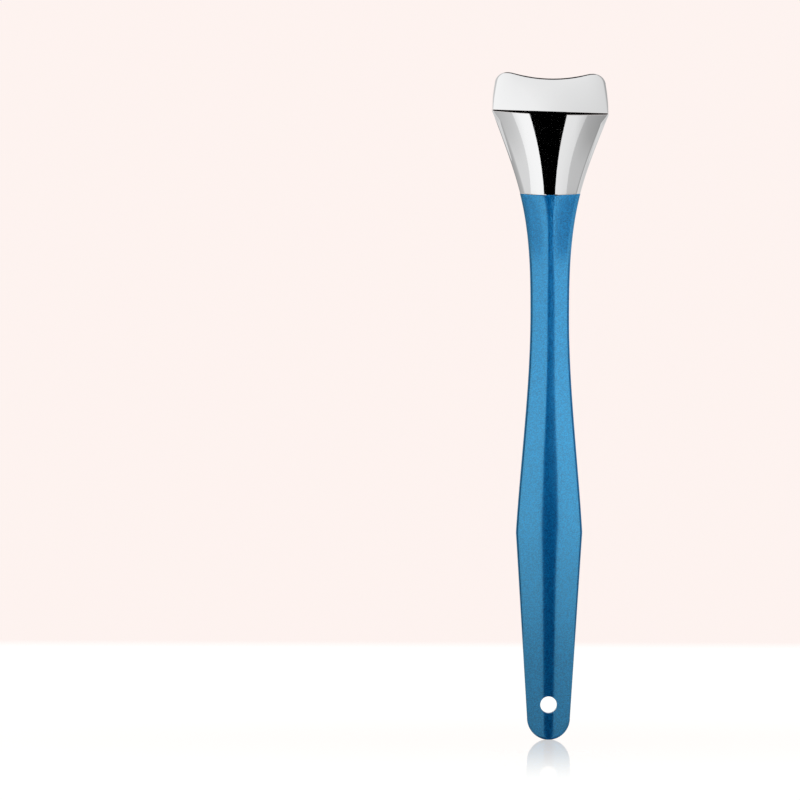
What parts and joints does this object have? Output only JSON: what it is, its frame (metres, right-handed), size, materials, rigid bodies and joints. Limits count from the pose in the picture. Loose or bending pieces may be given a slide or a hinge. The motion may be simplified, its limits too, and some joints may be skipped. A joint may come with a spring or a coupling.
{
  "type": "blackhead extractor",
  "caption": "Slim steel skin tool: a dished scraping blade on a flared bright neck, and a waisted blue handle with a hanging hole and a flat back.",
  "frame": {"origin": "under the middle of the tool's box, at the tip of the tail", "axes": "+Z along the tool to the scraping edge, -Y out of the crowned front, +Y out of the flat back, X across the blade"},
  "size_m": [0.021, 0.0044, 0.12],
  "materials": {
    "blade_steel": "mirror-polished steel",
    "bright_chrome": "bright chrome plate",
    "blue_pearl": "pearl lacquer with fine metal flakes",
    "strip_steel": "mill finish",
    "pin_steel": "ground flush"
  },
  "bodies": {
    "root": {"scraper_blade": "blade_steel", "neck": "bright_chrome", "handle": "blue_pearl", "tang": "strip_steel", "blade_pin_left": "pin_steel", "blade_pin_right": "pin_steel", "neck_pin": "pin_steel", "handle_pin": "pin_steel"}
  },
  "joints": []
}
